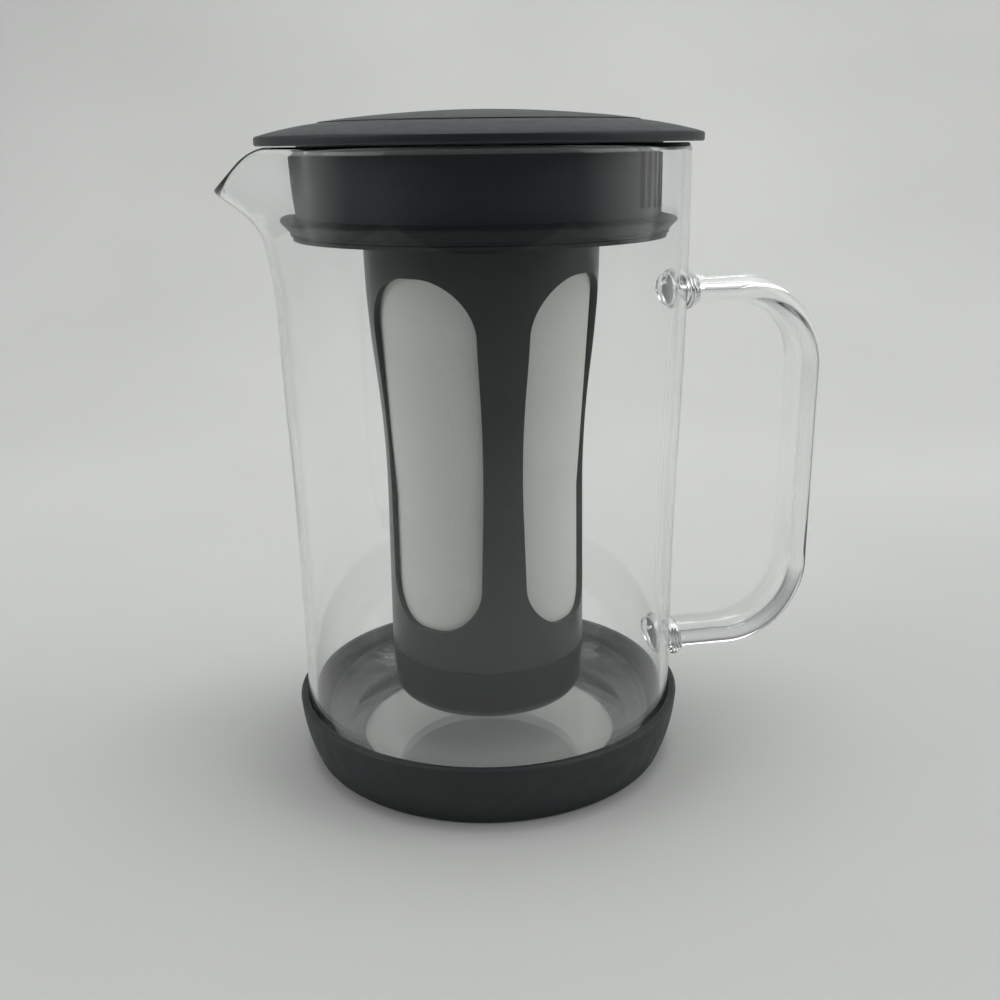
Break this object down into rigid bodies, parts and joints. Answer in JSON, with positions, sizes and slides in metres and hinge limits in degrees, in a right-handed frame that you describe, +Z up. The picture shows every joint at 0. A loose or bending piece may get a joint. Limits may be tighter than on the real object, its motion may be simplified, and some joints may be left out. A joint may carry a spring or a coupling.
{
  "type": "cold brew coffee maker",
  "caption": "glass pitcher with pulled spout and bent glass handle, soft foot boot, domed lid and long screw-in mesh filter for steeping coffee",
  "frame": {"origin": "on the jug's axis, in the plane that the boot's foot stands on", "axes": "+Z up along the jug's axis, +X towards the handle, -X towards the spout, +Y to complete the right-handed frame"},
  "size_m": [0.1962, 0.136, 0.2098],
  "materials": {
    "clear_glass": "clear, smooth and fire-polished",
    "boot_rubber": "soft matte charcoal silicone",
    "lid_plastic": "fine satin texture, charcoal",
    "filter_plastic": "smooth satin, charcoal",
    "seal_rubber": "soft matte silicone, charcoal",
    "filter_mesh": "fine woven mesh, pale grey and half see-through"
  },
  "bodies": {
    "jug": {"glass_jug": "clear_glass", "glass_handle": "clear_glass", "base_boot": "boot_rubber"},
    "gasket": {"lid_gasket": "seal_rubber"},
    "lid": {"lid_cover": "lid_plastic", "lid_disc": "lid_plastic", "lid_collar": "filter_plastic"},
    "filter_ring": {"filter_seal": "seal_rubber"},
    "filter": {"filter_frame": "filter_plastic", "mesh_panel_1": "filter_mesh", "mesh_panel_2": "filter_mesh", "mesh_panel_3": "filter_mesh", "mesh_panel_4": "filter_mesh"},
    "cap_ring": {"cap_seal": "seal_rubber"},
    "cap": {"bottom_cap": "filter_plastic"}
  },
  "joints": [
    {"name": "lid_lift", "type": "slide", "parent": "jug", "child": "gasket", "axis": [0, 0, 1], "range_m": [0, 0.19]},
    {"name": "lid_turn", "type": "hinge", "parent": "gasket", "child": "lid", "pos_m": [0, 0, 0.2], "axis": [0, 0, 1], "continuous": true},
    {"name": "filter_drop", "type": "slide", "parent": "lid", "child": "filter_ring", "axis": [0, 0, -1], "range_m": [0, 0.00639]},
    {"name": "filter_unscrew", "type": "hinge", "parent": "filter_ring", "child": "filter", "pos_m": [0, 0, 0.18], "axis": [0, 0, -1], "range_deg": [0, 460]},
    {"name": "cap_drop", "type": "slide", "parent": "filter", "child": "cap_ring", "axis": [0, 0, -1], "range_m": [0, 0.00639]},
    {"name": "cap_unscrew", "type": "hinge", "parent": "cap_ring", "child": "cap", "pos_m": [0, 0, 0.03], "axis": [0, 0, -1], "range_deg": [0, 460]}
  ],
  "couplings": [
    {"joint": "filter_drop", "follows": "filter_unscrew", "m_per_rad": 0.00079577},
    {"joint": "cap_drop", "follows": "cap_unscrew", "m_per_rad": 0.00079577}
  ]
}
